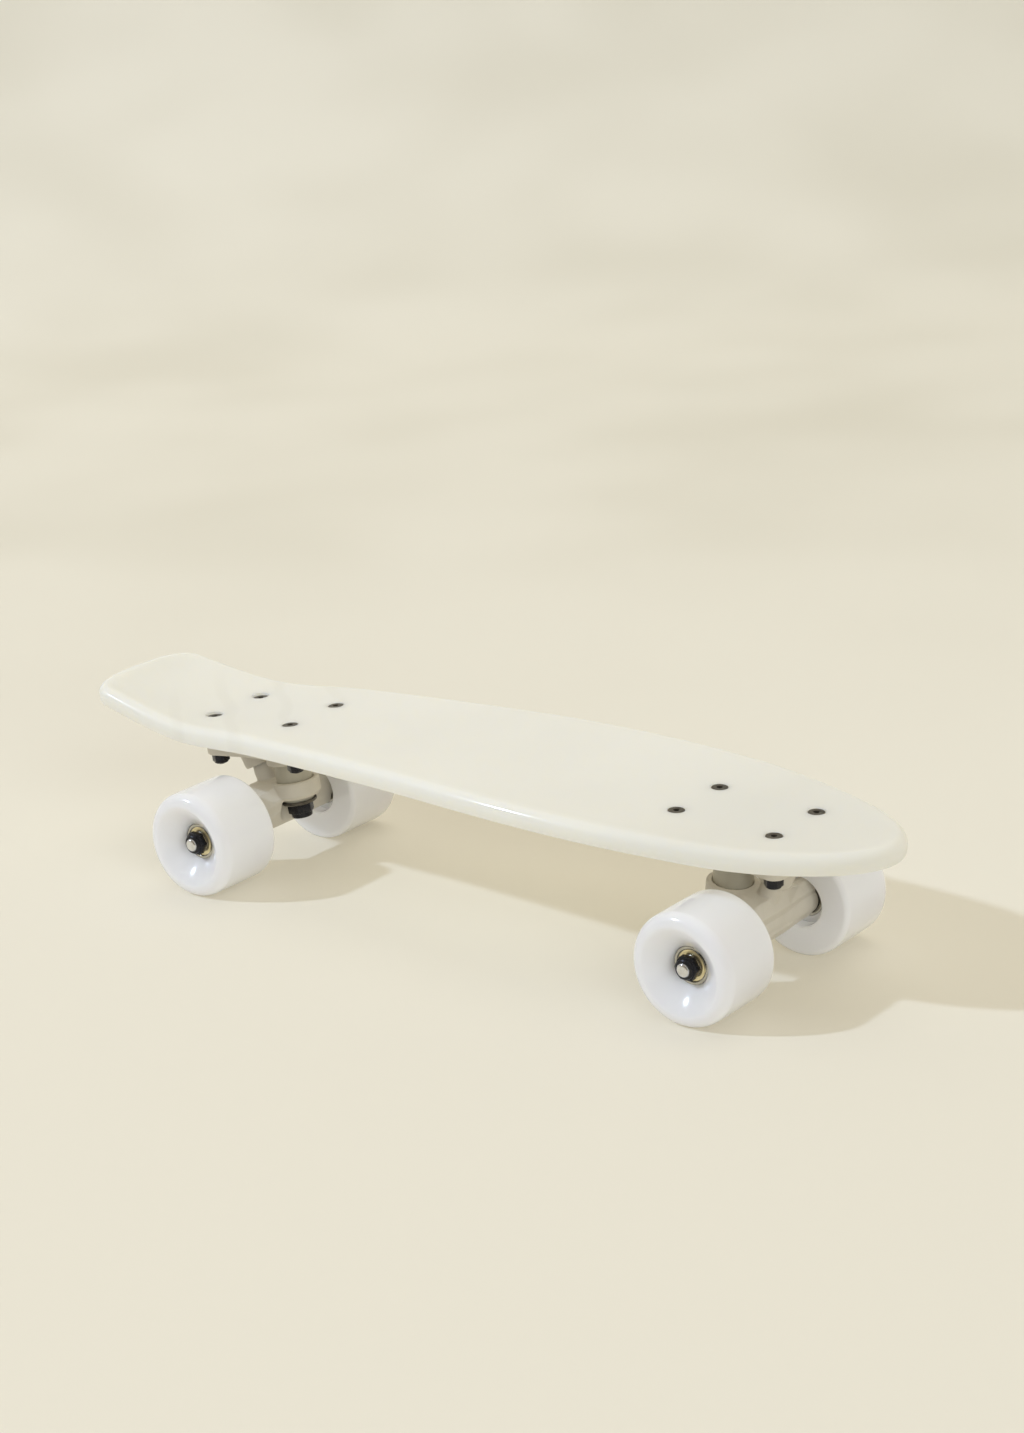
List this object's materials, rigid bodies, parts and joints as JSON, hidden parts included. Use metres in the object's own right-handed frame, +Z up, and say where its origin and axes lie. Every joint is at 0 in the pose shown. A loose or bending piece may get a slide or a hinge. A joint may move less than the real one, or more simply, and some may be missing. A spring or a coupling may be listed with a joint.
{
  "type": "cruiser skateboard",
  "caption": "Small cruiser skateboard: dished one-piece plastic deck with a kicktail, steering trucks that lean on bushings, and soft wheels on ball bearings.",
  "frame": {"origin": "on the floor, under the middle of the deck", "axes": "+X to the nose, +Y to the left of a rider who looks to the nose, +Z up"},
  "size_m": [0.5656, 0.1594, 0.1093],
  "materials": {
    "ivory_plastic": "satin moulded, slightly translucent milky ivory",
    "white_urethane": "glossy soft white polyurethane",
    "greige_paint": "matte grey-beige coating on cast aluminium",
    "greige_urethane": "satin grey-beige polyurethane",
    "dark_urethane": "matte black polyurethane",
    "black_oxide": "black oxide steel",
    "black_zinc": "black plated steel with a nylon insert",
    "bright_steel": "polished bearing steel",
    "zinc_steel": "zinc plated steel"
  },
  "bodies": {
    "deck": {"deck": "ivory_plastic", "front_baseplate": "greige_paint", "front_pivot_cup": "dark_urethane", "front_kingpin": "black_oxide", "front_boardside_bushing": "greige_urethane", "front_roadside_bushing": "greige_urethane", "front_kingpin_washer": "black_oxide", "front_kingpin_nut": "black_zinc", "front_deck_screw_1": "black_oxide", "front_deck_nut_1": "black_zinc", "front_deck_screw_2": "black_oxide", "front_deck_nut_2": "black_zinc", "front_deck_screw_3": "black_oxide", "front_deck_nut_3": "black_zinc", "front_deck_screw_4": "black_oxide", "front_deck_nut_4": "black_zinc", "rear_baseplate": "greige_paint", "rear_pivot_cup": "dark_urethane", "rear_kingpin": "black_oxide", "rear_boardside_bushing": "greige_urethane", "rear_roadside_bushing": "greige_urethane", "rear_kingpin_washer": "black_oxide", "rear_kingpin_nut": "black_zinc", "rear_deck_screw_1": "black_oxide", "rear_deck_nut_1": "black_zinc", "rear_deck_screw_2": "black_oxide", "rear_deck_nut_2": "black_zinc", "rear_deck_screw_3": "black_oxide", "rear_deck_nut_3": "black_zinc", "rear_deck_screw_4": "black_oxide", "rear_deck_nut_4": "black_zinc"},
    "front_hanger": {"front_hanger": "greige_paint", "front_axle": "zinc_steel", "front_left_speed_washer": "zinc_steel", "front_left_axle_nut": "black_zinc", "front_right_speed_washer": "zinc_steel", "front_right_axle_nut": "black_zinc"},
    "front_left_wheel": {"front_left_wheel": "white_urethane", "front_left_inner_bearing": "bright_steel", "front_left_outer_bearing": "bright_steel", "front_left_bearing_spacer": "zinc_steel"},
    "front_right_wheel": {"front_right_wheel": "white_urethane", "front_right_inner_bearing": "bright_steel", "front_right_outer_bearing": "bright_steel", "front_right_bearing_spacer": "zinc_steel"},
    "rear_hanger": {"rear_hanger": "greige_paint", "rear_axle": "zinc_steel", "rear_left_speed_washer": "zinc_steel", "rear_left_axle_nut": "black_zinc", "rear_right_speed_washer": "zinc_steel", "rear_right_axle_nut": "black_zinc"},
    "rear_left_wheel": {"rear_left_wheel": "white_urethane", "rear_left_inner_bearing": "bright_steel", "rear_left_outer_bearing": "bright_steel", "rear_left_bearing_spacer": "zinc_steel"},
    "rear_right_wheel": {"rear_right_wheel": "white_urethane", "rear_right_inner_bearing": "bright_steel", "rear_right_outer_bearing": "bright_steel", "rear_right_bearing_spacer": "zinc_steel"}
  },
  "joints": [
    {"name": "front_steer", "type": "hinge", "parent": "deck", "child": "front_hanger", "pos_m": [0.20691, 0, 0.06831], "axis": [-0.8496, 0, -0.5275], "range_deg": [-10, 10], "stiffness_Nm_per_rad": 12, "deforming": ["front_boardside_bushing", "front_roadside_bushing"]},
    {"name": "front_left_spin", "type": "hinge", "parent": "front_hanger", "child": "front_left_wheel", "pos_m": [0.19485, 0.0573, 0.0327], "axis": [0, 1, 0], "continuous": true},
    {"name": "front_right_spin", "type": "hinge", "parent": "front_hanger", "child": "front_right_wheel", "pos_m": [0.19485, -0.0573, 0.0327], "axis": [0, 1, 0], "continuous": true},
    {"name": "rear_steer", "type": "hinge", "parent": "deck", "child": "rear_hanger", "pos_m": [-0.18115, 0, 0.06786], "axis": [0.8675, 0, -0.4975], "range_deg": [-10, 10], "stiffness_Nm_per_rad": 12, "deforming": ["rear_boardside_bushing", "rear_roadside_bushing"]},
    {"name": "rear_left_spin", "type": "hinge", "parent": "rear_hanger", "child": "rear_left_wheel", "pos_m": [-0.16785, 0.0573, 0.0327], "axis": [0, 1, 0], "continuous": true},
    {"name": "rear_right_spin", "type": "hinge", "parent": "rear_hanger", "child": "rear_right_wheel", "pos_m": [-0.16785, -0.0573, 0.0327], "axis": [0, 1, 0], "continuous": true}
  ]
}
